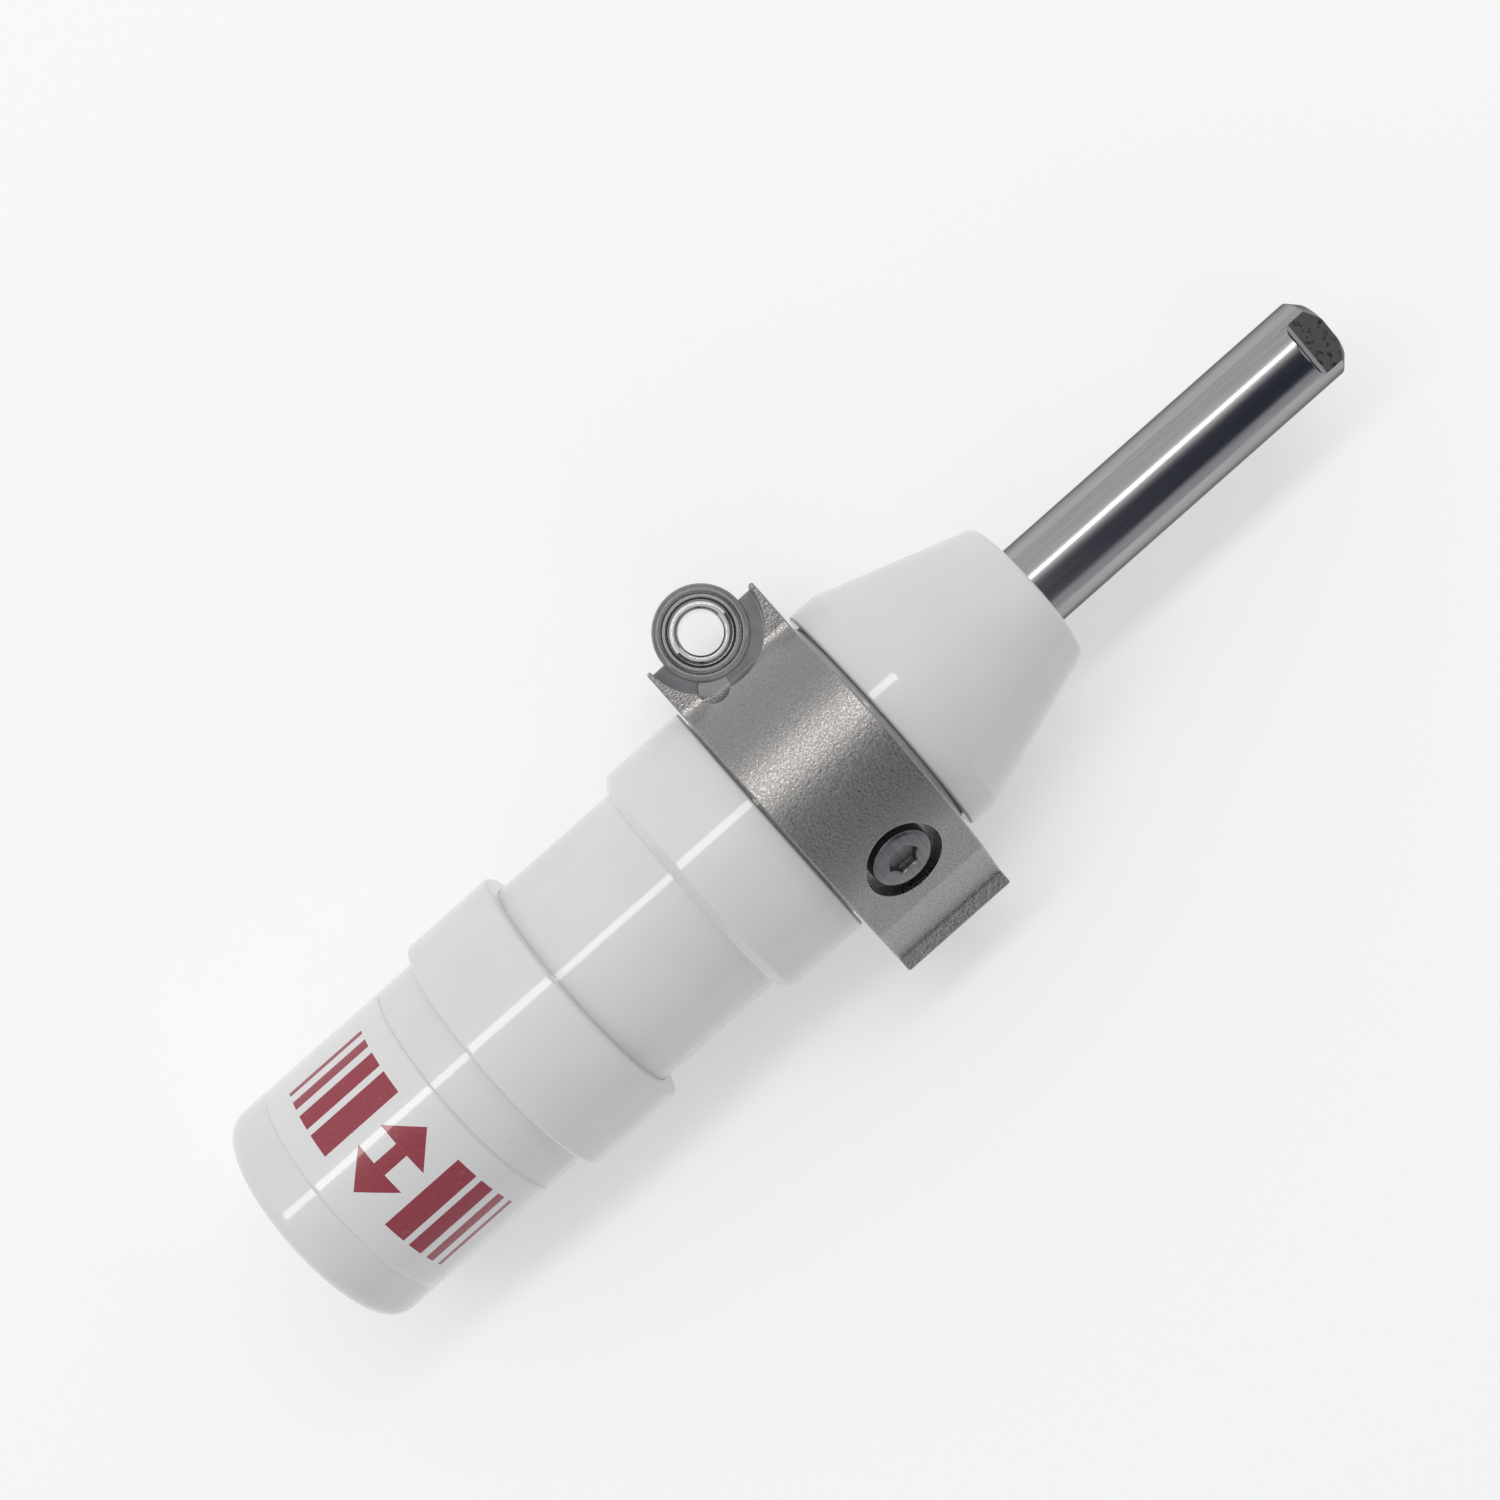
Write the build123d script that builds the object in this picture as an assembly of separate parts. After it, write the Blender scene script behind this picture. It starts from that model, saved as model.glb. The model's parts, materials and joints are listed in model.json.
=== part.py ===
from build123d import *
from math import cos, radians, sin, sqrt
import os

# A rod-and-barrel linear damper carried by a clamp collar. Millimetres. The origin is the centre
# of the spherical bearing in the collar's lug, on the collar's mid-plane. +X runs along the barrel
# towards the rod's tip, +Y points away from the barrel through the lug, and +Z is up, along the
# bearing's bore. The rod is drawn where it stands when the unit is at rest.

# Fits
running_gap = 0.05        # radial, where a piece turns or slides in another
thread_gap = 0.05         # radial, between a screw thread's two sides
seat_gap = 0.05           # radial, where one fixed piece fits inside another
stop_gap = 0.3            # axial, left at each end of the stroke

# Collar: ring, lug and jaw
lug_offset = 31.75        # from the bearing's centre to the barrel's axis
collar_width = 23.3
ring_wall = 5.6
collar_edge = 0.25        # broken edges at both faces
lug_height = 33.0
lug_root_round = 3.5
spotface_radius = 10.9
boss_wall = 0.65
boss_rise = 0.2
eye_thickness = 7.4
relief_radius = 2.9       # a round pocket that breaks the spotface's edge
relief_offset = 9.8       # from the bearing's centre
relief_angle = 242.0
relief_depth = 0.5
bore_web = 0.6            # left between the spotfaces and the collar's bore
slit = 1.2
facet_angle = 45.0        # the flat for the lock screw, from the top of the ring
facet_run = 10.6
jaw_edge_round = 2.4
upper_jaw_reach = 6.2     # past the ring
lower_jaw_reach = 8.7
lower_jaw_round = 1.4
lower_jaw_depth = 11.0

# Clamp screws and lock screw
clamp_screw_radius = 2.0
clamp_screw_hole = 2.2
clamp_screw_spread = 12.0
clamp_screw_wall = 4.2    # between the seat and the screws
clamp_screw_bite = 4.6    # into the upper jaw
clamp_tap_room = 0.6
clamp_head_radius = 3.5
clamp_head_height = 4.0
clamp_head_room = 0.5
clamp_socket_across = 3.0
clamp_washer_radius = 3.8
clamp_washer_thick = 0.8
lock_pocket_radius = 7.2
lock_pocket_depth = 2.9
lock_screw_radius = 3.0
lock_head_radius = 5.6
lock_head_height = 2.6
lock_socket_across = 5.0
lock_point_radius = 2.2
lock_point_length = 2.2
lock_point_room = 0.2
socket_depth_share = 0.6  # of a screw head's height

# Spherical bearing
ball_radius = 7.0
ball_bore = 7.94          # diameter
ball_bore_chamfer = 0.5
ball_face_land = 0.53     # flat ring on the ball's face, round the chamfer
bearing_liner_thick = 0.2
race_wall = 0.55
stake_groove_width = 0.7
stake_groove_depth = 0.4
stake_groove_wall = 0.5   # outside the groove

# Barrel, outside
tube_radius = 21.6
tube_wall = 3.7
shoulder_step = 2.6
shoulder_length = 17.8
collar_front_gap = 1.3
collar_rear_gap = 0.5
neck_bevel = 1.6
barrel_edge = 0.5         # broken edges of the white pieces
nose_step = 2.2
nose_land = 5.6
nose_length = 33.9
nose_rim_radius = 14.5
nose_rim_round = 1.2
nose_spigot_step = 1.8
nose_spigot_length = 9.1
coupling_wall = 3.05
coupling_length = 18.3
rear_step = 0.7
rear_edge_round = 3.5
rear_wall = 3.7
rear_end_wall = 4.0
rear_spigot_step = 0.6
rear_spigot_length = 7.0

# Rod
rod_diameter = 15.875
rod_out = 67.5            # past the nose at rest
rod_tip_chamfer = 1.7
flat_across = 11.74
flat_length = 6.6
flat_end_round = 1.8
flat_turn = 6.0           # degrees, the flats' lean from level towards the jaw
tip_thread = 7.94         # major diameter
tip_thread_depth = 18.0
tip_thread_chamfer = 0.5
piston_seat_radius = 6.35
tail_radius = 5.55
tail_chamfer = 0.8
tail_past_bushing = 2.8
tail_room = 1.0

# Stroke, either way from rest
stroke_out = 8.0
stroke_in = 28.0

# Piston
ring_count = 3
friction_ring_width = 5.0
friction_ring_depth = 3.1
ring_side_gap = 0.1
piston_land = 1.4
piston_land_below = 0.75  # below the friction rings' running face
piston_washer_thick = 1.6
piston_washer_margin = 0.6 # past the nut's corners
piston_nut_across = 19.05
piston_nut_height = 7.0
piston_nut_chamfer = 0.8

# Inside the barrel
cylinder_wall = 1.45
head_length = 11.5
rod_room = 0.5            # round the rod where nothing guides it
front_bumper_thick = 4.0
bumper_gap = 0.2
front_bushing_wall = 2.4
front_bushing_length = 18.2
front_bushing_setback = 2.0
wiper_length = 3.2
wiper_wall = 2.7
wiper_lip = 1.0
nose_lip = 1.2
rear_bumper_thick = 3.0
rear_bumper_proud = 0.6   # out of its pocket in the bulkhead
pilot_length = 3.3
flange_thick = 3.0
flange_step = 0.7
rear_bushing_wall = 2.3
rear_bushing_length = 9.8
hub_wall = 2.6
bushing_inset = 0.8
ring_groove_width = 1.9
ring_groove_depth = 1.35
ring_groove_inset = 0.7
seal_squeeze = 0.03

# Radii worked out from the sizes above
rod_radius = rod_diameter / 2
seat_radius = tube_radius + seat_gap
ring_radius = seat_radius + ring_wall
tube_bore = tube_radius - tube_wall
cylinder_outer = tube_bore - seat_gap
cylinder_bore = cylinder_outer - cylinder_wall
nose_radius = tube_radius + nose_step
nose_spigot_radius = tube_radius - nose_spigot_step
coupling_radius = tube_radius + thread_gap + coupling_wall
rear_radius = tube_radius + rear_step
rear_spigot_radius = tube_radius - rear_spigot_step
rear_bore = rear_radius - rear_wall
front_bushing_radius = rod_radius + running_gap + front_bushing_wall
rear_bushing_radius = tail_radius + running_gap + rear_bushing_wall
piston_bore = piston_seat_radius + seat_gap
nut_corner = piston_nut_across / sqrt(3)
piston_washer_radius = nut_corner + piston_washer_margin
friction_ring_outer = cylinder_bore - running_gap
friction_ring_inner = friction_ring_outer - friction_ring_depth
liner_bore = ball_radius + running_gap
liner_outer = liner_bore + bearing_liner_thick
race_radius = liner_outer + race_wall
race_width = eye_thickness + 2 * boss_rise
tip_thread_radius = tip_thread / 2
wiper_radius = rod_radius + rod_room + wiper_wall
boss_radius = race_radius + boss_wall

# Places along the barrel, from the front to the rear
collar_half = collar_width / 2
nose_base_x = collar_half + collar_front_gap
nose_land_x = nose_base_x + nose_land
nose_rim_x = nose_base_x + nose_length
nose_seat_x = nose_base_x + nose_spigot_length
head_rear_x = nose_seat_x - head_length
front_stop_x = head_rear_x - front_bumper_thick
piston_front_x = front_stop_x - stroke_out - stop_gap
groove_width = friction_ring_width + 2 * ring_side_gap
piston_length = ring_count * groove_width + (ring_count + 1) * piston_land
piston_rear_x = piston_front_x - piston_length
nut_front_x = piston_rear_x - piston_washer_thick
nut_rear_x = nut_front_x - piston_nut_height
rear_stop_x = nut_rear_x - stroke_in - stop_gap
pilot_front_x = rear_stop_x - rear_bumper_proud
bumper_pocket_x = rear_stop_x - rear_bumper_thick
tube_rear_x = pilot_front_x - pilot_length
rear_spigot_x = tube_rear_x - flange_thick
rear_base_x = rear_spigot_x - rear_spigot_length
coupling_front_x = rear_base_x + coupling_length
rear_bushing_x = bumper_pocket_x - bushing_inset
rear_bushing_end_x = rear_bushing_x - rear_bushing_length
tail_end_x = rear_bushing_end_x - stroke_out - tail_past_bushing
rear_bore_end_x = tail_end_x - stroke_in - tail_room
rear_end_x = rear_bore_end_x - rear_end_wall
shoulder_front_x = -collar_half - collar_rear_gap
shoulder_rear_x = shoulder_front_x - shoulder_length
rod_tip_x = nose_rim_x + rod_out
wiper_seat_x = nose_rim_x - wiper_length
front_bushing_x = nose_seat_x + front_bushing_setback
front_bushing_end_x = min(front_bushing_x + front_bushing_length, wiper_seat_x - nose_lip)

# Places round the collar
clamp_screw_y = -lug_offset - seat_radius - clamp_screw_wall - clamp_screw_radius
clamp_screw_top = slit / 2 + clamp_screw_bite
clamp_seat_z = -lower_jaw_depth + clamp_head_height + clamp_washer_thick


def turned(*stations):
    # A solid turned about the barrel's axis. Each station of its half section is (x, radius) or
    # (x, radius, corner rounding).
    corners = [station[:2] for station in stations]
    rounding = [station[2] if len(station) == 3 else 0 for station in stations]
    section = make_face(FilletPolyline(*corners, radius=rounding, close=True))
    return Pos(0, -lug_offset, 0) * revolve(section, Axis.X)


def sleeve(front_x, rear_x, outer, inner, edge=0):
    return turned((front_x, inner), (front_x, outer, edge), (rear_x, outer, edge), (rear_x, inner))


def upright(radius, low_z, high_z):
    return Pos(0, 0, (low_z + high_z) / 2) * Cylinder(radius, high_z - low_z)


def hex_socket(across, depth):
    # Its mouth is at the origin and it goes down.
    return extrude(RegularPolygon(across / 2, 6, major_radius=False), -depth)


def face_groove(outer, front_x):
    # The ring that an O-ring's groove takes out of a round land.
    return sleeve(front_x, front_x - ring_groove_width, outer + 1, outer - ring_groove_depth)


def o_ring(bore, land, front_x):
    # Squeezed between the groove's floor and the bore round it.
    floor = land - ring_groove_depth
    centre = Pos(front_x - ring_groove_width / 2, -lug_offset, 0) * Rot(0, 90, 0)
    return centre * Torus((bore + floor) / 2, (bore - floor) / 2 - seal_squeeze)


def lock_frame():
    # On the barrel's axis, with +Z along the lock screw and out of its head.
    return Pos(0, -lug_offset, 0) * Rot(facet_angle, 0, 0)


def collar_outline():
    # In the plane across the barrel, from the barrel's axis: +x is towards the lug.
    low, high = sin(radians(facet_angle)), cos(radians(facet_angle))
    facet_top = (-ring_radius * low, ring_radius * high)
    facet_end = (facet_top[0] - facet_run * high, facet_top[1] - facet_run * low)
    upper_jaw = make_face(FilletPolyline(
        (0, 0), facet_top, facet_end, (-ring_radius - upper_jaw_reach, 0),
        radius=[0, 0, jaw_edge_round, 0], close=True))
    lower_jaw = make_face(FilletPolyline(
        (0, 0), (-ring_radius - lower_jaw_reach, 0),
        (-ring_radius - lower_jaw_reach, -lower_jaw_depth), (0, -lower_jaw_depth),
        radius=[0, lower_jaw_round, jaw_edge_round, 0], close=True))
    lug = Pos(lug_offset / 2, 0) * Rectangle(lug_offset, lug_height)
    outline = Circle(ring_radius) + lug + upper_jaw + lower_jaw
    root_x = sqrt(ring_radius ** 2 - (lug_height / 2) ** 2)
    roots = [outline.vertices().sort_by_distance((root_x, side * lug_height / 2))[0] for side in (1, -1)]
    return fillet(roots, lug_root_round)


def clamp_collar():
    blank = extrude(Plane.YZ * Pos(-lug_offset, 0) * collar_outline(), collar_half, both=True)
    faces = blank.faces().filter_by(Axis.X)
    blank = chamfer(faces.edges(), collar_edge)
    web = sleeve(collar_half, -collar_half, seat_radius + bore_web, 0)
    floor_z = eye_thickness / 2
    spotface = upright(spotface_radius, floor_z, ring_radius + 1) - web
    blank -= spotface
    blank -= mirror(spotface, Plane.XY)
    relief = Rot(0, 0, relief_angle) * Pos(relief_offset, 0, 0)
    blank -= relief * upright(relief_radius, floor_z - relief_depth, ring_radius + 1) - web
    boss_half = floor_z + boss_rise
    blank += upright(boss_radius, -boss_half, boss_half)
    blank -= upright(race_radius + seat_gap, -boss_half, boss_half)
    blank -= sleeve(collar_half, -collar_half, seat_radius, 0)
    jaw_length = ring_radius + lower_jaw_reach
    blank -= Pos(0, -lug_offset - jaw_length / 2 - 1, 0) * Box(collar_width, jaw_length + 2, slit)
    for place in clamp_screw_places():
        blank -= place * upright(clamp_screw_hole, -lower_jaw_depth, 0)
        blank -= place * upright(clamp_screw_radius + thread_gap, 0, clamp_screw_top + clamp_tap_room)
        blank -= place * upright(clamp_washer_radius + clamp_head_room, -ring_radius, clamp_seat_z)
    pocket = upright(lock_pocket_radius, ring_radius - lock_pocket_depth, ring_radius + 2)
    thread = upright(lock_screw_radius + thread_gap, seat_radius - 1, ring_radius)
    return blank - lock_frame() * (pocket + thread)


def clamp_screw_places():
    return [Pos(side * clamp_screw_spread / 2, clamp_screw_y, 0) for side in (1, -1)]


def clamp_screws():
    head_top = clamp_seat_z - clamp_washer_thick
    head = upright(clamp_head_radius, head_top - clamp_head_height, head_top)
    head = chamfer(head.edges().group_by(Axis.Z)[0], collar_edge)
    head -= Pos(0, 0, head_top - clamp_head_height) * mirror(
        hex_socket(clamp_socket_across, clamp_head_height * socket_depth_share), Plane.XY)
    screw = head + upright(clamp_screw_radius, head_top, clamp_screw_top)
    return Compound([place * screw for place in clamp_screw_places()])


def clamp_washers():
    washer = upright(clamp_washer_radius, clamp_seat_z - clamp_washer_thick, clamp_seat_z)
    washer -= upright(clamp_screw_hole, clamp_seat_z - clamp_washer_thick, clamp_seat_z)
    return Compound([place * washer for place in clamp_screw_places()])


def lock_screw():
    floor = ring_radius - lock_pocket_depth
    head = upright(lock_head_radius, floor, floor + lock_head_height)
    head = chamfer(head.edges().group_by(Axis.Z)[-1], collar_edge)
    head -= Pos(0, 0, floor + lock_head_height) * hex_socket(
        lock_socket_across, lock_head_height * socket_depth_share)
    shank = upright(lock_screw_radius, seat_radius, floor)
    point = upright(lock_point_radius, tube_radius - lock_point_length, seat_radius)
    return lock_frame() * (head + shank + point)


def bearing_race():
    top = race_width / 2
    race = upright(race_radius, -top, top) - Sphere(liner_outer)
    groove_outer = race_radius - stake_groove_wall
    groove = make_face(Polyline(
        (groove_outer, top), (groove_outer - stake_groove_width, top),
        (groove_outer - stake_groove_width / 2, top - stake_groove_depth), close=True))
    groove = revolve(Plane.XZ * groove, Axis.Z)
    return race - groove - mirror(groove, Plane.XY)


def bearing_liner():
    liner = Sphere(liner_outer) & upright(race_radius, -race_width / 2, race_width / 2)
    return liner - Sphere(liner_bore)


def bearing_ball():
    face_radius = ball_bore / 2 + ball_bore_chamfer + ball_face_land
    half = sqrt(ball_radius ** 2 - face_radius ** 2)
    ball = Sphere(ball_radius) & upright(ball_radius, -half, half)
    ball -= upright(ball_bore / 2, -half, half)
    mouths = ball.edges().filter_by(GeomType.CIRCLE).filter_by(
        lambda edge: abs(edge.radius - ball_bore / 2) < 1e-4)
    return chamfer(mouths, ball_bore_chamfer)


def main_tube():
    shoulder = tube_radius + shoulder_step
    tube = turned(
        (nose_seat_x, tube_bore), (nose_seat_x, nose_spigot_radius, barrel_edge),
        (nose_base_x, nose_spigot_radius), (nose_base_x, tube_radius, barrel_edge),
        (shoulder_front_x, tube_radius), (shoulder_front_x, shoulder, barrel_edge),
        (shoulder_rear_x + neck_bevel, shoulder), (shoulder_rear_x, shoulder - neck_bevel),
        (shoulder_rear_x, tube_radius),
        (tube_rear_x, tube_radius), (tube_rear_x, tube_bore))
    dimple = upright(lock_point_radius + lock_point_room,
                     tube_radius - lock_point_length - lock_point_room, tube_radius + 1)
    return tube - lock_frame() * dimple


def nose_cone():
    return turned(
        (nose_seat_x, nose_spigot_radius + thread_gap), (nose_base_x, nose_spigot_radius + thread_gap),
        (nose_base_x, nose_radius, barrel_edge), (nose_land_x, nose_radius),
        (nose_rim_x, nose_rim_radius, nose_rim_round), (nose_rim_x, wiper_radius + seat_gap),
        (wiper_seat_x, wiper_radius + seat_gap), (wiper_seat_x, rod_radius + rod_room),
        (front_bushing_end_x, rod_radius + rod_room),
        (front_bushing_end_x, front_bushing_radius + seat_gap),
        (nose_seat_x, front_bushing_radius + seat_gap))


def coupling_ring():
    return turned(
        (coupling_front_x, tube_radius + thread_gap), (coupling_front_x, coupling_radius, barrel_edge),
        (rear_base_x, coupling_radius, barrel_edge), (rear_base_x, rear_spigot_radius + thread_gap),
        (rear_spigot_x, rear_spigot_radius + thread_gap), (rear_spigot_x, tube_radius + thread_gap))


def rear_housing():
    return turned(
        (rear_spigot_x, rear_bore), (rear_spigot_x, rear_spigot_radius),
        (rear_base_x, rear_spigot_radius), (rear_base_x, rear_radius, barrel_edge),
        (rear_end_x, rear_radius, rear_edge_round), (rear_end_x, 0),
        (rear_bore_end_x, 0), (rear_bore_end_x, rear_bore, rear_edge_round / 2))


def cylinder_liner():
    return sleeve(head_rear_x, pilot_front_x, cylinder_outer, cylinder_bore)


def front_head():
    ring = sleeve(nose_seat_x, head_rear_x, cylinder_outer, rod_radius + rod_room, barrel_edge)
    return ring - face_groove(cylinder_outer, nose_seat_x - 2 * ring_groove_inset)


def head_o_ring():
    return o_ring(tube_bore, cylinder_outer, nose_seat_x - 2 * ring_groove_inset)


def front_bumper():
    return sleeve(head_rear_x, front_stop_x, cylinder_bore - bumper_gap, rod_radius + rod_room,
                  barrel_edge)


def front_bushing():
    return sleeve(front_bushing_end_x, front_bushing_x, front_bushing_radius,
                  rod_radius + running_gap)


def rod_wiper():
    return turned(
        (wiper_seat_x, rod_radius + rod_room), (wiper_seat_x, wiper_radius),
        (nose_rim_x, wiper_radius), (nose_rim_x, rod_radius + rod_room + wiper_lip),
        (nose_rim_x - wiper_lip, rod_radius + rod_room + wiper_lip / 2),
        (nose_rim_x, rod_radius + running_gap), (nose_rim_x - wiper_lip, rod_radius + running_gap),
        (wiper_seat_x + wiper_lip, rod_radius + rod_room))


def rear_bumper():
    return sleeve(rear_stop_x, bumper_pocket_x, nut_corner, tail_radius + rod_room, barrel_edge)


def rear_bulkhead():
    hub = rear_bushing_radius + seat_gap + hub_wall
    hub_end_x = rear_bushing_end_x - bushing_inset
    body = turned(
        (bumper_pocket_x, tail_radius + rod_room), (bumper_pocket_x, nut_corner + bumper_gap),
        (pilot_front_x, nut_corner + bumper_gap), (pilot_front_x, cylinder_outer),
        (tube_rear_x, cylinder_outer), (tube_rear_x, tube_radius - flange_step),
        (rear_spigot_x, tube_radius - flange_step), (rear_spigot_x, hub), (hub_end_x, hub, barrel_edge),
        (hub_end_x, rear_bushing_radius + seat_gap), (rear_bushing_x, rear_bushing_radius + seat_gap),
        (rear_bushing_x, tail_radius + rod_room))
    return body - face_groove(cylinder_outer, pilot_front_x - ring_groove_inset)


def bulkhead_o_ring():
    return o_ring(tube_bore, cylinder_outer, pilot_front_x - ring_groove_inset)


def rear_bushing():
    return sleeve(rear_bushing_x, rear_bushing_end_x, rear_bushing_radius,
                  tail_radius + running_gap)


def rod():
    chamfer_x = rod_tip_x - rod_tip_chamfer
    bar = turned(
        (rod_tip_x - tip_thread_depth, 0), (rod_tip_x - tip_thread_depth, tip_thread_radius),
        (rod_tip_x - tip_thread_chamfer, tip_thread_radius),
        (rod_tip_x, tip_thread_radius + tip_thread_chamfer),
        (rod_tip_x, rod_radius - rod_tip_chamfer), (chamfer_x, rod_radius),
        (piston_front_x, rod_radius), (piston_front_x, piston_seat_radius),
        (nut_rear_x, piston_seat_radius), (nut_rear_x, tail_radius),
        (tail_end_x + tail_chamfer, tail_radius), (tail_end_x, tail_radius - tail_chamfer),
        (tail_end_x, 0))
    cutter = make_face(FilletPolyline(
        (rod_tip_x - flat_length, rod_radius + 1), (rod_tip_x - flat_length, flat_across / 2),
        (rod_tip_x + 1, flat_across / 2), (rod_tip_x + 1, rod_radius + 1),
        radius=[0, flat_end_round, 0, 0], close=True))
    flat = extrude(Plane.XZ * cutter, rod_radius + 1, both=True)
    for side in (flat, mirror(flat, Plane.XY)):
        bar -= Pos(0, -lug_offset, 0) * Rot(flat_turn, 0, 0) * side
    return bar


def piston():
    land = friction_ring_outer - piston_land_below
    body = sleeve(piston_front_x, piston_rear_x, land, piston_bore)
    for number in range(ring_count):
        front_x = piston_front_x - piston_land - number * (groove_width + piston_land)
        body -= sleeve(front_x, front_x - groove_width, land + 1, friction_ring_inner - seat_gap)
    return body


def friction_ring(number):
    front_x = piston_front_x - piston_land - number * (groove_width + piston_land) - ring_side_gap
    return sleeve(front_x, front_x - friction_ring_width, friction_ring_outer, friction_ring_inner,
                  barrel_edge)


def piston_washer():
    return sleeve(piston_rear_x, nut_front_x, piston_washer_radius, piston_bore)


def piston_nut():
    prism = extrude(RegularPolygon(piston_nut_across / 2, 6, major_radius=False), piston_nut_height)
    prism = Pos(nut_rear_x, -lug_offset, 0) * Rot(0, 90, 0) * prism
    prism &= turned(
        (nut_front_x, 0), (nut_front_x, nut_corner - piston_nut_chamfer),
        (nut_front_x - piston_nut_chamfer, nut_corner + seat_gap),
        (nut_rear_x + piston_nut_chamfer, nut_corner + seat_gap),
        (nut_rear_x, nut_corner - piston_nut_chamfer), (nut_rear_x, 0))
    return prism - sleeve(nut_front_x, nut_rear_x, piston_seat_radius + thread_gap, 0)


pieces = {
    "main_tube": main_tube(),
    "nose_cone": nose_cone(),
    "coupling_ring": coupling_ring(),
    "rear_housing": rear_housing(),
    "cylinder_liner": cylinder_liner(),
    "front_head": front_head(),
    "head_o_ring": head_o_ring(),
    "front_bumper": front_bumper(),
    "front_bushing": front_bushing(),
    "rod_wiper": rod_wiper(),
    "rear_bumper": rear_bumper(),
    "rear_bulkhead": rear_bulkhead(),
    "bulkhead_o_ring": bulkhead_o_ring(),
    "rear_bushing": rear_bushing(),
    "clamp_collar": clamp_collar(),
    "clamp_screws": clamp_screws(),
    "clamp_washers": clamp_washers(),
    "lock_screw": lock_screw(),
    "bearing_race": bearing_race(),
    "bearing_liner": bearing_liner(),
    "bearing_ball": bearing_ball(),
    "rod": rod(),
    "piston": piston(),
    "piston_washer": piston_washer(),
    "piston_nut": piston_nut(),
}
for number in range(ring_count):
    pieces[f"friction_ring_{number + 1}"] = friction_ring(number)

os.makedirs("parts", exist_ok=True)
for name, solid in pieces.items():
    export_step(solid, f"parts/{name}.step")
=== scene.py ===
# The looks of a rod-and-barrel linear damper. Metres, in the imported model's frame: the origin is the
# centre of the spherical bearing in the clamp collar's lug, +X runs to the rod's tip, +Y goes out
# through the lug and +Z is up. Sizes in the dictionaries are millimetres unless they say otherwise.
import json
import math

import bmesh
import bpy
import numpy as np
from mathutils import Euler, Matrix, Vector


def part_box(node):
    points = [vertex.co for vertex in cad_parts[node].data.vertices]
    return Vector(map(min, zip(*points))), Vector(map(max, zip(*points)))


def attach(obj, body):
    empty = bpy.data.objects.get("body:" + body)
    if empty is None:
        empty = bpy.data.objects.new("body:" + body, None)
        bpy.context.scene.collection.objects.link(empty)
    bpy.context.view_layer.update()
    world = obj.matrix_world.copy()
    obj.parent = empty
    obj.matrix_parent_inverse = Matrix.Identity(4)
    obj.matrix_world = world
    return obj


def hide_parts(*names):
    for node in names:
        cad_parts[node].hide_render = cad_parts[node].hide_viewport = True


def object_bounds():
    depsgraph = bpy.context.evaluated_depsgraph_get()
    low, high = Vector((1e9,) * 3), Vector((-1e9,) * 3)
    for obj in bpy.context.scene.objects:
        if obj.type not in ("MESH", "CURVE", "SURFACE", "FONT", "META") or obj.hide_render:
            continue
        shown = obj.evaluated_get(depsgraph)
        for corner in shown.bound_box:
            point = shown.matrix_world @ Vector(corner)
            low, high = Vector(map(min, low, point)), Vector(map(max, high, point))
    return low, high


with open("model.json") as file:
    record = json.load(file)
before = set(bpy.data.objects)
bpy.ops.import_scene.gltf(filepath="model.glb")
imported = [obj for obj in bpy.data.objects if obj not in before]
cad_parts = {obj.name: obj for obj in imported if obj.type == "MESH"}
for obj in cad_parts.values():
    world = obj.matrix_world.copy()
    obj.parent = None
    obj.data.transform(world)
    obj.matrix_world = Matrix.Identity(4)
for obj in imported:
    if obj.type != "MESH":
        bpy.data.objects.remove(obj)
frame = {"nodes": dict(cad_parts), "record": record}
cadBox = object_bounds()
scene = bpy.context.scene
millimetre = 0.001
fullTurn = 2 * math.pi


def edges(node):
    # The node's lowest and highest corner in millimetres.
    low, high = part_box(node)
    return np.array(low) / millimetre, np.array(high) / millimetre


def ends(node):
    # The x of the node's rear end and of its front end, in millimetres.
    low, high = edges(node)
    return low[0], high[0]


housingLow, housingHigh = edges("rear_housing")
axisY = (housingLow[1] + housingHigh[1]) / 2  # the barrel's axis runs along X at this y, z = 0
print("frame loaded, barrel axis at y", round(axisY, 3), "mm")

mergeDistance = 1e-7  # metres


def gridPiece(name, points, closeRows=False, closeColumns=True, sharpAngle=34):
    # A surface from a grid of points in millimetres, rows by columns by xyz. Every point is joined to
    # its neighbours by a quad, and a closed direction also joins its last line to its first. Points
    # that meet at a pole are merged, and the faces are turned outwards.
    rows, columns = points.shape[:2]
    index = np.arange(rows * columns).reshape(rows, columns)
    if closeRows:
        index = np.vstack([index, index[:1]])
    if closeColumns:
        index = np.hstack([index, index[:, :1]])
    quads = np.stack([index[:-1, :-1], index[1:, :-1], index[1:, 1:], index[:-1, 1:]], axis=-1)
    mesh = bpy.data.meshes.new(name)
    mesh.from_pydata(points.reshape(-1, 3) * millimetre, [], quads.reshape(-1, 4).tolist())
    shape = bmesh.new()
    shape.from_mesh(mesh)
    bmesh.ops.remove_doubles(shape, verts=shape.verts, dist=mergeDistance)
    bmesh.ops.recalc_face_normals(shape, faces=shape.faces)
    shape.to_mesh(mesh)
    shape.free()
    mesh.shade_smooth()
    mesh.set_sharp_from_angle(angle=math.radians(sharpAngle))
    piece = bpy.data.objects.new(name, mesh)
    scene.collection.objects.link(piece)
    weighted = piece.modifiers.new("evenShading", "WEIGHTED_NORMAL")
    weighted.keep_sharp = True
    return piece


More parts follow.
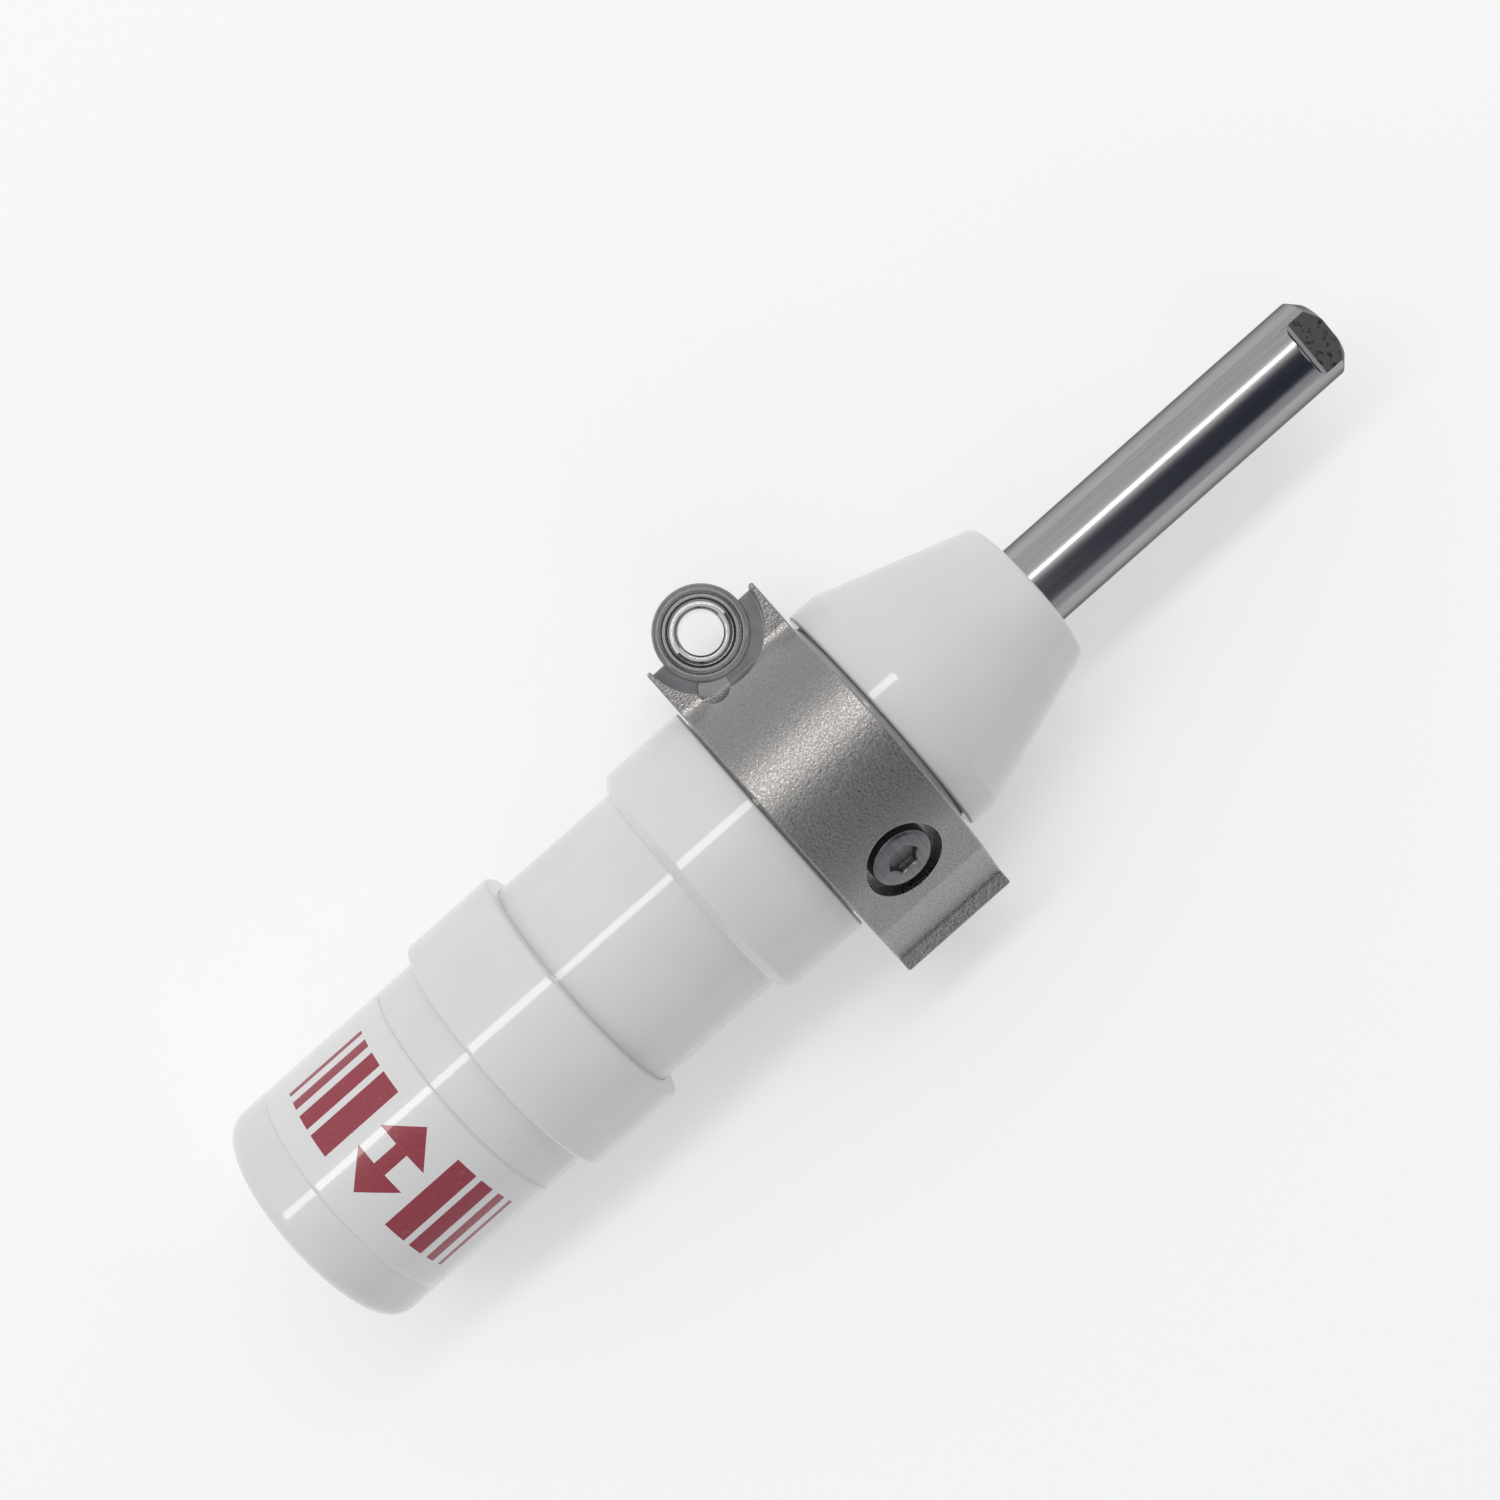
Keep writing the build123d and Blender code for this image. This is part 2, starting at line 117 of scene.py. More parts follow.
def roundedOutline(corners, steps=6, closed=True):
    # Corners are (x, radius, rounding). A corner with a rounding becomes an arc that is tangent to
    # both its sides: its centre lies on the bisector, rounding / sin(half the angle) from the corner.
    places = np.array([corner[:2] for corner in corners], float)
    rounds = [corner[2] if len(corner) == 3 else 0 for corner in corners]
    lines = []
    for number, here in enumerate(places):
        if not rounds[number] or (not closed and number in (0, len(places) - 1)):
            lines.append(here[None])
            continue
        back = places[number - 1] - here
        ahead = places[(number + 1) % len(places)] - here
        back, ahead = back / np.linalg.norm(back), ahead / np.linalg.norm(ahead)
        half = math.acos(float(back @ ahead)) / 2
        middle = (back + ahead) / np.linalg.norm(back + ahead)
        centre = here + middle * rounds[number] / math.sin(half)
        reach = rounds[number] / math.tan(half)
        fromCentre, toCentre = here + back * reach - centre, here + ahead * reach - centre
        sweep = math.pi - 2 * half
        share = np.linspace(0, 1, steps + 1)[:, None]
        lines.append(centre + (np.sin((1 - share) * sweep) * fromCentre
                               + np.sin(share * sweep) * toCentre) / math.sin(sweep))
    return np.vstack(lines)


def aroundBarrel(x, radius, angle):
    # Turned about the barrel's axis: x as it is, y = axis + r cos a, z = r sin a.
    return np.stack([x + 0 * angle, axisY + radius * np.cos(angle), radius * np.sin(angle)], axis=-1)


barrelColumns = 224


def turnedPiece(name, outline, closed=True):
    angle = np.linspace(0, fullTurn, barrelColumns, endpoint=False)
    return gridPiece(name, aroundBarrel(outline[:, :1], outline[:, 1:2], angle), closeRows=closed)


def saw(turns):
    # A triangle wave: 0 at whole numbers, 1 half way between them.
    return 1 - np.abs(2 * (turns % 1) - 1)


def hypotenuse(first, second):
    return (first * first + second * second) ** 0.5


def finishPiece(piece, slot, body, *replaced, material=None):
    # Gives the piece its slot's own material, or the one that is passed, and ties it to its body.
    piece.data.materials.append(material or materials[slot])
    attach(piece, body)
    if replaced:
        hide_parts(*replaced)


class Wire:
    # One output socket of a finish's nodes. Arithmetic on it adds Math nodes.
    def __init__(self, finish, socket):
        self.finish, self.socket = finish, socket

    def __add__(self, other):
        return self.finish.maths("ADD", self, other)

    def __radd__(self, other):
        return self.finish.maths("ADD", other, self)

    def __sub__(self, other):
        return self.finish.maths("SUBTRACT", self, other)

    def __rsub__(self, other):
        return self.finish.maths("SUBTRACT", other, self)

    def __mul__(self, other):
        return self.finish.maths("MULTIPLY", self, other)

    def __truediv__(self, other):
        return self.finish.maths("DIVIDE", self, other)

    def __pow__(self, other):
        return self.finish.maths("POWER", self, other)

    def __lt__(self, other):
        return self.finish.maths("LESS_THAN", self, other)

    def __gt__(self, other):
        return self.finish.maths("GREATER_THAN", self, other)

    def __abs__(self):
        return self.finish.maths("ABSOLUTE", self)

    def rise(self, low, high):
        # 0 below low, 1 above high, a smooth step between them.
        return self.finish.node("ShaderNodeMapRange", {"interpolation_type": "SMOOTHSTEP"},
                                {"Value": self, "From Min": low, "From Max": high})


class Finish:
    # A node material, or the world's nodes, with the few calls that its patterns need.
    def __init__(self, owner, **constants):
        owner.use_nodes = True
        self.owner, self.tree = owner, owner.node_tree
        self.tree.nodes.clear()
        owned = "World" if isinstance(owner, bpy.types.World) else "Material"
        self.exit = self.tree.nodes.new("ShaderNodeOutput" + owned).inputs["Surface"]
        if constants:
            self.skin = self.tree.nodes.new("ShaderNodeBsdfPrincipled")
            self.tree.links.new(self.skin.outputs[0], self.exit)
            self.wear(**constants)

    def node(self, kind, settings, inputs, output=0):
        new = self.tree.nodes.new(kind)
        for name, value in settings.items():
            setattr(new, name, value)
        for key, value in inputs.items():
            self.feed(new.inputs[key], value)
        return Wire(self, new.outputs[output])

    def feed(self, socket, value):
        if isinstance(value, Wire):
            self.tree.links.new(value.socket, socket)
        elif socket.type == "RGBA" and len(value) == 3:
            socket.default_value = (*value, 1)
        else:
            socket.default_value = value

    def wear(self, **values):
        # Sets the shader's own sockets: baseColor is Base Color, and so on.
        for name, value in values.items():
            title = "".join(" " + letter if letter.isupper() else letter for letter in name).title()
            self.feed(self.skin.inputs[title.replace("Ior", "IOR")], value)

    def maths(self, operation, *values):
        return self.node("ShaderNodeMath", {"operation": operation}, dict(enumerate(values)))

    def mix(self, share, first, second):
        return self.node("ShaderNodeMix", {"data_type": "RGBA"}, {0: share, 6: first, 7: second}, 2)

    def place(self, stretch=(1, 1, 1)):
        # Object coordinates in metres, stretched along each axis.
        here = self.node("ShaderNodeTexCoord", {}, {}, "Object")
        return self.node("ShaderNodeVectorMath", {"operation": "MULTIPLY"}, {0: here, 1: stretch})

    def split(self, vector):
        first = self.node("ShaderNodeSeparateXYZ", {}, {0: vector})
        return [Wire(self, part) for part in first.socket.node.outputs]

    def noise(self, place, size, detail=2.0, roughness=0.5):
        # Cloudy noise about 0.5 whose blots are size millimetres across.
        return self.node("ShaderNodeTexNoise", {},
                         {"Vector": place, "Scale": 1 / (size * millimetre), "Detail": detail,
                          "Roughness": roughness})

    def lineNoise(self, value, size, detail=2.0):
        # Noise of one value, for tool marks that follow it.
        return self.node("ShaderNodeTexNoise", {"noise_dimensions": "1D"},
                         {"W": value, "Scale": 1 / (size * millimetre), "Detail": detail})

    def roundedEdge(self, radius):
        return self.node("ShaderNodeBevel", {"samples": 6}, {"Radius": radius * millimetre})

    def edgeMask(self, edge, flatLean=0.02, cornerLean=0.12):
        # How far the rounded edge's normal leans from the face's own: 0 on flats, 1 on corners.
        own = self.node("ShaderNodeNewGeometry", {}, {}, "Normal")
        lean = 1 - self.node("ShaderNodeVectorMath", {"operation": "DOT_PRODUCT"}, {0: edge, 1: own}, 1)
        return lean.rise(flatLean, cornerLean)

    def bump(self, height, depth, strength=1.0, below=None):
        # Height 0 to 1 stands for depth millimetres.
        inputs = {"Height": height, "Distance": depth * millimetre, "Strength": strength}
        if below:
            inputs["Normal"] = below
        return self.node("ShaderNodeBump", {}, inputs)


def newMaterial(name):
    return bpy.data.materials.new(name)


enamel = {"colour": (0.80, 0.80, 0.803), "shade": (0.765, 0.768, 0.78), "cloud": 22, "roughness": 0.32,
          "cloudRoughness": 0.1, "peel": 1.1, "peelDepth": 0.006, "peelStrength": 0.5, "edgeRound": 0.12,
          "speck": (0.20, 0.18, 0.17), "speckEvery": 13, "speckSize": 0.16}


def enamelFinish():
    # Semi-gloss white enamel. Its colour is two whites mixed by a wide noise. A fine noise stands for
    # the sprayed film's unevenness. A dust speck stands where a Voronoi cell's centre is nearer than
    # its size times the fourth power of the cell's own random number.
    finish = Finish(newMaterial("whiteEnamel"), specularIorLevel=0.25, coatWeight=1.0, coatRoughness=0.07,
                    coatIor=1.5)
    place = finish.place()
    cloud = finish.noise(place, enamel["cloud"], 3)
    every = enamel["speckEvery"]
    cells = {"Vector": place, "Scale": 1 / (every * millimetre)}
    near = finish.node("ShaderNodeTexVoronoi", {}, cells, "Distance")
    chance = finish.split(finish.node("ShaderNodeTexVoronoi", {}, cells, "Color"))[0]
    speck = near < chance ** 4 * (enamel["speckSize"] / every)
    colour = finish.mix(cloud.rise(0.35, 0.65), enamel["colour"], enamel["shade"])
    peel = finish.noise(place, enamel["peel"], 2)
    finish.wear(baseColor=finish.mix(speck, colour, enamel["speck"]),
                roughness=enamel["roughness"] + cloud * enamel["cloudRoughness"],
                normal=finish.bump(peel, enamel["peelDepth"], enamel["peelStrength"],
                                   finish.roundedEdge(enamel["edgeRound"])))
    return finish.owner


blasted = {"colour": (0.352, 0.342, 0.334), "dark": (0.288, 0.284, 0.284), "grain": 0.42,
           "grainDepth": 0.085, "cloud": 9, "roughness": 0.36, "cloudRoughness": 0.06, "spots": 0.38,
           "spotShine": 0.25, "edge": (0.60, 0.59, 0.57), "edgeRound": 0.22, "rubbedSheenShare": 0.6}
spotface = {"radius": 10.98, "colour": (0.262, 0.262, 0.278), "dark": (0.21, 0.21, 0.222), "cloud": 4,
            "rings": 0.22, "ringHeight": 0.08, "roughness": 0.24, "cloudRoughness": 0.1,
            "pocket": (0.36, 0.36, 0.37), "pocketX": -4.6, "pocketY": -8.65, "pocketRadius": 2.95,
            "pocketHalfHeight": 3.65}


def blastedFinish():
    # Bead-blasted steel: a fine noise dents the surface and mottles its colour, the spots of a second
    # fine noise shine more, and corners are brighter, partly where the blasting is rubbed off and partly
    # as a painted highlight on the rounded edges. Nearer to the bearing's axis than the spotface's
    # radius, the metal is as the cutter left it, with rings of tool marks from noise of that distance.
    # Inside the round pocket beside it, the colour is paler: a painted highlight standing in for the
    # light that the pocket's curved floor catches.
    finish = Finish(newMaterial("blastedSteel"), metallic=1.0)
    place = finish.place()
    x, y, z = finish.split(place)
    grain = finish.noise(place, blasted["grain"], 3, 0.62)
    cloud = finish.noise(place, blasted["cloud"], 3)
    spots = finish.noise(place, blasted["spots"], 2, 0.5).rise(0.40, 0.60)
    fromBearing = hypotenuse(x, y)
    cut = fromBearing < spotface["radius"] * millimetre
    rings = finish.lineNoise(fromBearing, spotface["rings"], 3)
    edge = finish.roundedEdge(blasted["edgeRound"])
    blown = finish.mix(grain.rise(0.34, 0.66), blasted["dark"], blasted["colour"])
    machined = finish.mix(finish.noise(place, spotface["cloud"], 3).rise(0.3, 0.7), spotface["colour"],
                          spotface["dark"])
    fromPocket = hypotenuse(x - spotface["pocketX"] * millimetre, y - spotface["pocketY"] * millimetre)
    pocket = fromPocket < spotface["pocketRadius"] * millimetre
    pocket = pocket * (abs(z) < spotface["pocketHalfHeight"] * millimetre)
    # The pocket's paler colour is a painted highlight.
    skin = finish.mix(pocket, finish.mix(cut, blown, machined), spotface["pocket"])
    blownRoughness = blasted["roughness"] + cloud * blasted["cloudRoughness"] - spots * blasted["spotShine"]
    cutRoughness = spotface["roughness"] + cloud * spotface["cloudRoughness"]
    # The paler edge colour is partly rubbed-off blasting, partly a painted highlight.
    finish.wear(baseColor=finish.mix(finish.edgeMask(edge) * blasted["rubbedSheenShare"], skin, blasted["edge"]),
                roughness=blownRoughness * (1 - cut) + cutRoughness * cut,
                normal=finish.bump(grain * (1 - cut) + rings * spotface["ringHeight"] * cut,
                                   blasted["grainDepth"], 1.0, edge))
    return finish.owner


groundRod = {"colour": (0.43, 0.43, 0.435), "streak": (0.37, 0.372, 0.38), "scale": 0.02, "fine": 0.28,
             "wide": 2.2, "roughness": 0.16, "wideRoughness": 0.06, "depth": 0.0025, "streakHeight": 0.22,
             "edge": (0.5, 0.5, 0.5), "edgeRound": 0.14, "rubbedSheenShare": 0.5}
rodFlats = {"half": 5.87, "turn": 6, "reach": 6.7, "skin": 0.03, "colour": (0.17, 0.17, 0.175),
            "spot": (0.045, 0.045, 0.05), "spots": 1.3, "spotHeight": 4, "roughness": 0.38,
            "spotRoughness": 0.2}


def rodFinish():
    # Ground and polished steel: streaks are noise stretched fifty times along the rod. On the two
    # wrench flats, whose height over the rod's axis is half the distance across them, the metal is
    # darker, rougher and stained by a spotty noise. That height is z cos turn - (y - axis) sin turn.
    finish = Finish(newMaterial("groundRod"), metallic=1.0, specularTint=(0.3, 0.3, 0.32))
    place = finish.place()
    x, y, z = finish.split(place)
    along = finish.noise(finish.place((groundRod["scale"], 1, 1)), groundRod["fine"], 3, 0.6)
    wide = finish.noise(finish.place((groundRod["scale"] * 3, 1, 1)), groundRod["wide"], 2)
    turn = math.radians(rodFlats["turn"])
    height = z * math.cos(turn) - (y - axisY * millimetre) * math.sin(turn)
    atTip = x > (ends("rod")[1] - rodFlats["reach"]) * millimetre
    flat = atTip * (abs(abs(height) - rodFlats["half"] * millimetre) < rodFlats["skin"] * millimetre)
    blots = finish.noise(place, rodFlats["spots"], 4, 0.65)
    stains = finish.mix(blots.rise(0.50, 0.62), rodFlats["colour"], rodFlats["spot"])
    edge = finish.roundedEdge(groundRod["edgeRound"])
    bright = finish.mix(along.rise(0.36, 0.64), groundRod["streak"], groundRod["colour"])
    skin = finish.mix(flat, bright, stains)
    roundRoughness = groundRod["roughness"] + wide * groundRod["wideRoughness"]
    flatRoughness = rodFlats["roughness"] + blots * rodFlats["spotRoughness"]
    relief = along * (1 - flat) * groundRod["streakHeight"] + blots * flat * rodFlats["spotHeight"]
    # Rounded edges are painted paler: partly rubbed metal, partly a painted highlight.
    finish.wear(baseColor=finish.mix(finish.edgeMask(edge) * groundRod["rubbedSheenShare"], skin,
                                     groundRod["edge"]),
                roughness=roundRoughness * (1 - flat) + flatRoughness * flat,
                normal=finish.bump(relief, groundRod["depth"], 1.0, edge))
    return finish.owner


race = {"inner": (0.42, 0.42, 0.425), "outer": (0.34, 0.34, 0.345), "border": 6.7, "borderBlur": 0.1,
        "marks": 0.25, "markDepth": 0.002, "cloud": 3, "lineShare": 0.4, "mottle": 0.35,
        "roughness": 0.2, "cloudRoughness": 0.12, "edgeRound": 0.1}


def raceFinish():
    # The bearing's race: rings of tool marks, from noise of the distance from the bearing's axis. The
    # band nearer to the axis than its border is given a brighter colour.
    finish = Finish(newMaterial("raceSteel"), metallic=1.0)
    place = finish.place()
    x, y = finish.split(place)[:2]
    fromBearing = hypotenuse(x, y)
    lines = finish.lineNoise(fromBearing, race["marks"], 3)
    cloud = finish.noise(place, race["cloud"], 3)
    past = (fromBearing / millimetre - race["border"]).rise(-race["borderBlur"], race["borderBlur"])
    band = finish.mix(past, race["inner"], race["outer"])
    both = lines * race["lineShare"] + cloud * (1 - race["lineShare"])
    skin = finish.mix(both.rise(0.3, 0.7) * race["mottle"], band, race["outer"])
    finish.wear(baseColor=skin, roughness=race["roughness"] + cloud * race["cloudRoughness"],
                normal=finish.bump(lines, race["markDepth"], 0.8, finish.roundedEdge(race["edgeRound"])))
    return finish.owner


turned = {"cloud": 4, "lineShare": 0.5, "edgeRound": 0.1, "rubbedSheenShare": 0.5, "rubbedSheenGain": 1.5,
          "rubbedSheenLift": 0.05, "flatShare": 0.8, "cloudShare": 0.5}


def turnedFinish(name, colour, shade, roughness, marks=0.16, depth=0.004, around="x"):
    # Turned metal: one-way noise of the distance along the lathe's axis (around "x"), or out from
    # the bearing's axis (around "z"), gives the tool marks, and a wide noise shifts the colour.
    finish = Finish(newMaterial(name), metallic=1.0)
    place = finish.place()
    x, y = finish.split(place)[:2]
    lines = finish.lineNoise(x if around == "x" else hypotenuse(x, y), marks, 3)
    cloud = finish.noise(place, turned["cloud"], 3)
    edge = finish.roundedEdge(turned["edgeRound"])
    both = lines * turned["lineShare"] + cloud * (1 - turned["lineShare"])
    skin = finish.mix(both.rise(0.35, 0.65), shade, colour)
    # Rounded edges take a paler copy of the colour: partly rubbed metal, partly a painted highlight.
    light = tuple(min(1, value * turned["rubbedSheenGain"] + turned["rubbedSheenLift"]) for value in colour)
    finish.wear(baseColor=finish.mix(finish.edgeMask(edge) * turned["rubbedSheenShare"], skin, light),
                roughness=roughness * turned["flatShare"] + cloud * roughness * turned["cloudShare"],
                normal=finish.bump(lines, depth, 0.8, edge))
    return finish.owner


rubber = {"colour": (0.022, 0.022, 0.023), "bloom": (0.06, 0.058, 0.055), "bloomSize": 5,
          "bloomShare": 0.5, "pores": 0.25, "poreDepth": 0.02, "roughness": 0.5, "poreRoughness": 0.25}


def rubberFinish():
    # Moulded black rubber: fine pores from a noise, and a dusty bloom where a wide noise is high.
    finish = Finish(newMaterial("blackRubber"), specularIorLevel=0.35)
    place = finish.place()
    pores = finish.noise(place, rubber["pores"], 3)
    bloom = finish.noise(place, rubber["bloomSize"], 3).rise(0.45, 0.75)
    finish.wear(baseColor=finish.mix(bloom * rubber["bloomShare"], rubber["colour"], rubber["bloom"]),
                roughness=rubber["roughness"] + pores * rubber["poreRoughness"],
                normal=finish.bump(pores, rubber["poreDepth"], 0.6))
    return finish.owner


liner = {"dark": (0.03, 0.028, 0.026), "light": (0.085, 0.078, 0.07), "threadsRound": 70, "pitch": 0.5,
         "depth": 0.03, "roughness": 0.6, "weaveRoughness": 0.25}


def linerFinish():
    # Woven liner: two sine waves, one round the bearing and one up it, cross to give the weave.
    finish = Finish(newMaterial("wovenLiner"), specularIorLevel=0.3)
    x, y, z = finish.split(finish.place())
    roundWave = finish.maths("SINE", finish.maths("ARCTAN2", y, x) * liner["threadsRound"])
    upWave = finish.maths("SINE", z * (fullTurn / (liner["pitch"] * millimetre)))
    weave = roundWave * upWave * 0.5 + 0.5
    finish.wear(baseColor=finish.mix(weave, liner["dark"], liner["light"]),
                roughness=liner["roughness"] + weave * liner["weaveRoughness"],
                normal=finish.bump(weave, liner["depth"], 0.7))
    return finish.owner


mark = {"colour": (0.31, 0.018, 0.040), "film": (0.80, 0.80, 0.81), "height": 8.0, "shaft": 1.3,
        "headSlope": 0.95, "headFrom": 2.4, "overlap": 0.1,
        "bars": ((9.8, 2.3), (15.0, 1.6), (19.2, 1.0), (22.4, 0.5)), "worn": 0.5, "wornShare": 0.1,
        "wide": 8, "wideHeight": 0.6, "roughness": 0.24, "wideRoughness": 0.1, "depth": 0.012}


def labelFinish():
    # A white film with a plain red print, from the film's own UV map in metres: U runs round the
    # barrel from its top, V along it. The print is a double-headed arrow, where |U| is inside a shaft
    # or inside a head that narrows with |V|, and pairs of narrowing bars (middle, half width) beside
    # it. A fine noise wears the ink a little.
    finish = Finish(newMaterial("printedFilm"), specularIorLevel=0.4, coatWeight=1.0, coatRoughness=0.05)
    u, v = finish.split(finish.node("ShaderNodeUVMap", {"uv_map": "film"}, {}))[:2]
    across, along = abs(u) / millimetre, abs(v) / millimetre
    inside = along < mark["height"]
    head = (across < (mark["height"] - along) * mark["headSlope"]) * (along > mark["headFrom"])
    shaft = (across < mark["shaft"]) * (along < mark["headFrom"] + mark["overlap"])
    printed = finish.maths("MAXIMUM", head, shaft) * inside
    for middle, half in mark["bars"]:
        printed = finish.maths("MAXIMUM", printed, (abs(across - middle) < half) * inside)
    worn = finish.noise(finish.place(), mark["worn"], 3).rise(0.22, 0.42)
    wide = finish.noise(finish.place(), mark["wide"], 2)
    ink = printed * (1 - mark["wornShare"] + worn * mark["wornShare"])
    finish.wear(baseColor=finish.mix(ink, mark["film"], mark["colour"]),
                roughness=mark["roughness"] + wide * mark["wideRoughness"],
                normal=finish.bump(printed + wide * mark["wideHeight"], mark["depth"], 0.6))
    return finish.owner


materials = {
    "white_enamel": enamelFinish(),
    "blasted_steel": blastedFinish(),
    "bearing_steel": raceFinish(),
    "bearing_fabric": linerFinish(),
    "lapped_steel": turnedFinish("lappedSteel", (0.80, 0.80, 0.80), (0.70, 0.70, 0.705), 0.1, 0.25, 0.001,
                                 around="z"),
    "ground_rod": rodFinish(),
    "turned_alloy": turnedFinish("turnedAlloy", (0.72, 0.72, 0.73), (0.60, 0.60, 0.62), 0.32),
    "black_elastomer": rubberFinish(),
    "bushing_bronze": turnedFinish("bushingBronze", (0.60, 0.42, 0.20), (0.47, 0.32, 0.15), 0.3),
    "zinc_steel": turnedFinish("darkPlate", (0.24, 0.24, 0.25), (0.16, 0.16, 0.17), 0.34, 0.5, 0.002),
}
for entry in frame["record"]["subparts"]:
    frame["nodes"][entry["node"]].data.materials[0] = materials[entry["material_slot"]]
print("finishes made:", len(materials))


tube = {"radius": 21.6, "shoulderRadius": 24.2, "shoulderFront": -12.15, "shoulderRear": -29.95,
        "bevel": 1.6, "bevelFrontRound": 0.7, "bevelRearRound": 0.3, "rootRound": 0.35, "rootStep": 0.001,
        "spigotRadius": 19.8, "spigotLength": 9.1, "spigotRound": 0.5, "bore": 17.9, "edge": 0.55}
rearX, frontX = ends("main_tube")
tubeOutline = roundedOutline([
    (frontX, tube["bore"]), (frontX, tube["spigotRadius"], tube["spigotRound"]),
    (frontX - tube["spigotLength"], tube["spigotRadius"]),
    (frontX - tube["spigotLength"], tube["radius"], tube["edge"]),
    (tube["shoulderFront"], tube["radius"]),
    (tube["shoulderFront"], tube["shoulderRadius"], tube["edge"]),
    (tube["shoulderRear"] + tube["bevel"], tube["shoulderRadius"], tube["bevelFrontRound"]),
    (tube["shoulderRear"], tube["shoulderRadius"] - tube["bevel"], tube["bevelRearRound"]),
    (tube["shoulderRear"], tube["radius"] + tube["rootStep"], tube["rootRound"]),
    (rearX, tube["radius"]), (rearX, tube["bore"])])
finishPiece(turnedPiece("enamelTube", tubeOutline), "white_enamel", "barrel", "main_tube")


nose = {"landRadius": 23.8, "landLength": 5.6, "landRound": 2.0, "rimRadius": 14.5, "rimRound": 1.3,
        "edge": 0.55, "spigotBore": 19.85, "wiperBore": 11.2375, "wiperDepth": 3.2, "wiperRound": 0.15,
        "rodBore": 8.4375, "bushingBore": 10.4375}
baseX, rimX = ends("nose_cone")
seatX, bushingFrontX = ends("main_tube")[1], ends("front_bushing")[1]
noseOutline = roundedOutline([
    (seatX, nose["spigotBore"]), (baseX, nose["spigotBore"]),
    (baseX, nose["landRadius"], nose["edge"]),
    (baseX + nose["landLength"], nose["landRadius"], nose["landRound"]),
    (rimX, nose["rimRadius"], nose["rimRound"]), (rimX, nose["wiperBore"], nose["wiperRound"]),
    (rimX - nose["wiperDepth"], nose["wiperBore"]), (rimX - nose["wiperDepth"], nose["rodBore"]),
    (bushingFrontX, nose["rodBore"]), (bushingFrontX, nose["bushingBore"]),
    (seatX, nose["bushingBore"])])
finishPiece(turnedPiece("enamelNose", noseOutline), "white_enamel", "barrel", "nose_cone")


coupling = {"radius": 24.7, "bore": 21.65, "rearBore": 21.05, "step": 7.0, "edge": 0.8}
couplingRear, couplingFront = ends("coupling_ring")
couplingOutline = roundedOutline([
    (couplingFront, coupling["bore"]), (couplingFront, coupling["radius"], coupling["edge"]),
    (couplingRear, coupling["radius"], coupling["edge"]), (couplingRear, coupling["rearBore"]),
    (couplingRear + coupling["step"], coupling["rearBore"]),
    (couplingRear + coupling["step"], coupling["bore"])])
finishPiece(turnedPiece("enamelCoupling", couplingOutline), "white_enamel", "barrel", "coupling_ring")


housing = {"radius": 22.3, "spigotRadius": 21.0, "spigotLength": 7.0, "bore": 18.6, "endWall": 4.0,
           "edge": 0.55, "endRound": 3.5}
housingRear, housingFront = ends("rear_housing")
housingOutline = roundedOutline([
    (housingRear, 0), (housingRear, housing["radius"], housing["endRound"]),
    (housingFront - housing["spigotLength"], housing["radius"], housing["edge"]),
    (housingFront - housing["spigotLength"], housing["spigotRadius"]),
    (housingFront, housing["spigotRadius"]), (housingFront, housing["bore"]),
    (housingRear + housing["endWall"], housing["bore"], housing["endRound"] / 2),
    (housingRear + housing["endWall"], 0)], steps=10, closed=False)
finishPiece(turnedPiece("enamelHousing", housingOutline, closed=False), "white_enamel", "barrel",
            "rear_housing")
print("white pieces turned")


film = {"halfLength": 12.8, "halfSweep": 80, "lift": 0.07, "thickness": 0.05, "cornerRound": 3.0,
        "centreX": -94.9, "rows": 33, "columns": 161}


def filmPiece():
    # A patch of a cylinder: x = centre + v, the angle from the top is u / radius, and near the ends
    # the half length shrinks along a quarter circle, so that the film's corners are rounded. Its UV
    # map is u and v in metres, read back from the points.
    radius = housing["radius"] + film["lift"]
    halfArc = radius * math.radians(film["halfSweep"])
    u = halfArc * np.sin(np.linspace(-0.5, 0.5, film["columns"]) * math.pi)
    past = np.clip(np.abs(u) - (halfArc - film["cornerRound"]), 0, film["cornerRound"])
    reach = film["halfLength"] - film["cornerRound"] + np.sqrt(film["cornerRound"] ** 2 - past ** 2)
    share = np.linspace(-1, 1, film["rows"])[:, None]
    turn = (u + 0 * share) / radius
    points = np.stack([film["centreX"] + share * reach, axisY + radius * np.sin(turn),
                       radius * np.cos(turn)], axis=-1)
    piece = gridPiece("printedFilm", points, closeColumns=False)
    mesh = piece.data
    place = np.zeros(len(mesh.vertices) * 3)
    mesh.vertices.foreach_get("co", place)
    x, y, z = place.reshape(-1, 3).T
    flat = np.stack([np.arctan2(y - axisY * millimetre, z) * radius * millimetre,
                     x - film["centreX"] * millimetre], axis=-1)
    corner = np.zeros(len(mesh.loops), int)
    mesh.loops.foreach_get("vertex_index", corner)
    mesh.uv_layers.new(name="film").data.foreach_set("uv", flat[corner].ravel())
    wall = piece.modifiers.new("filmThickness", "SOLIDIFY")
    wall.thickness, wall.offset = film["thickness"] * millimetre, -1
    return piece


finishPiece(filmPiece(), "white_enamel", "barrel", material=labelFinish())
print("film laid")


